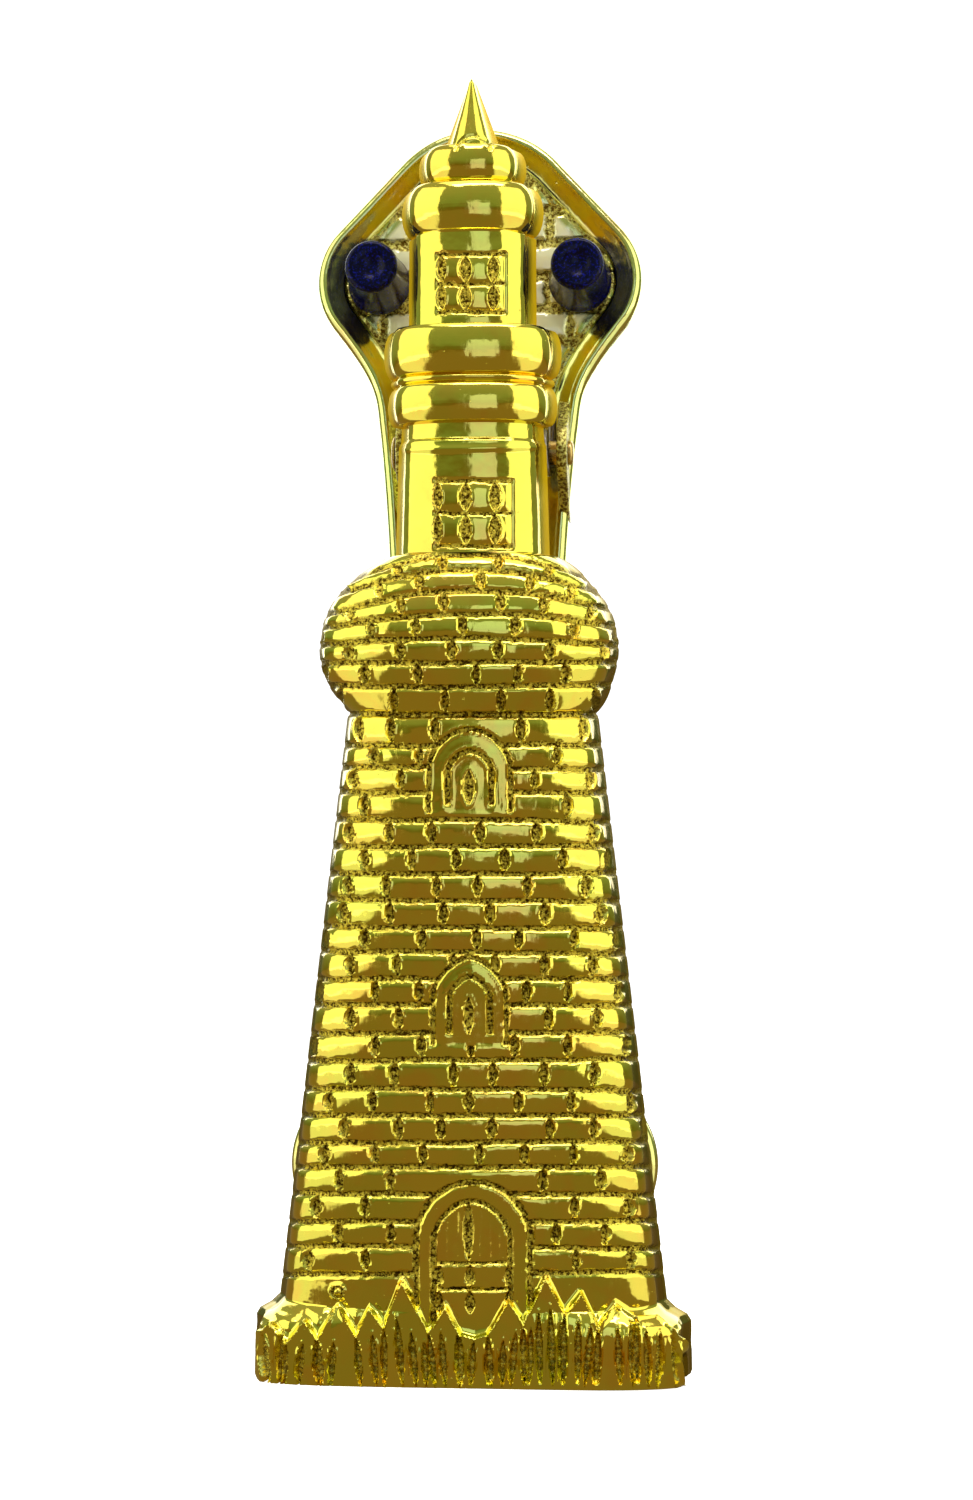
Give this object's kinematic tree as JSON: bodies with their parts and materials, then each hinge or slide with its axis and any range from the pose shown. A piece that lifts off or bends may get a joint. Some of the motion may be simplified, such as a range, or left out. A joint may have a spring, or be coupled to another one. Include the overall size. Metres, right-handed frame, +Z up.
{
  "type": "bottle opener",
  "caption": "Cast brass lighthouse bottle opener: a sprung, hinged lighthouse in front of a lobed back plate with a cap mouth, a steel lifter and dark blue buffers.",
  "frame": {"origin": "on the back plate's flat back, at the middle of its waist, on the line of symmetry", "axes": "+Z up along the plate to the lantern end, -Y forward out of the decorated front, +Y out of the flat back, +X to the viewer's right"},
  "size_m": [0.0536, 0.0211, 0.1577],
  "materials": {
    "cast_brass": "polished high spots with rough dark cast joints",
    "plate_brass": "polished rim and brick faces with granular joints, brushed flat back",
    "pin_brass": "drawn rod, peened ends",
    "steel": "zinc plated",
    "spring_steel": "oiled spring wire",
    "blue_rubber": "smooth moulded, dark navy blue"
  },
  "bodies": {
    "plate": {"back_plate": "plate_brass", "cap_lifter": "steel", "lifter_rivet_left": "steel", "lifter_rivet_right": "steel", "hinge_pin": "pin_brass", "hinge_spacer": "pin_brass", "torsion_spring": "spring_steel", "buffer_left": "blue_rubber", "buffer_right": "blue_rubber", "buffer_insert_left": "pin_brass", "buffer_insert_right": "pin_brass", "buffer_screw_left": "steel", "buffer_screw_right": "steel"},
    "tower": {"lighthouse": "cast_brass"}
  },
  "joints": [
    {"name": "lighthouse_hinge", "type": "hinge", "parent": "plate", "child": "tower", "pos_m": [0, -0.0075, 0.0365], "axis": [-1, 0, 0], "range_deg": [0, 14], "stiffness_Nm_per_rad": 0.3, "springref_deg": -57.3, "deforming": ["torsion_spring"]}
  ]
}
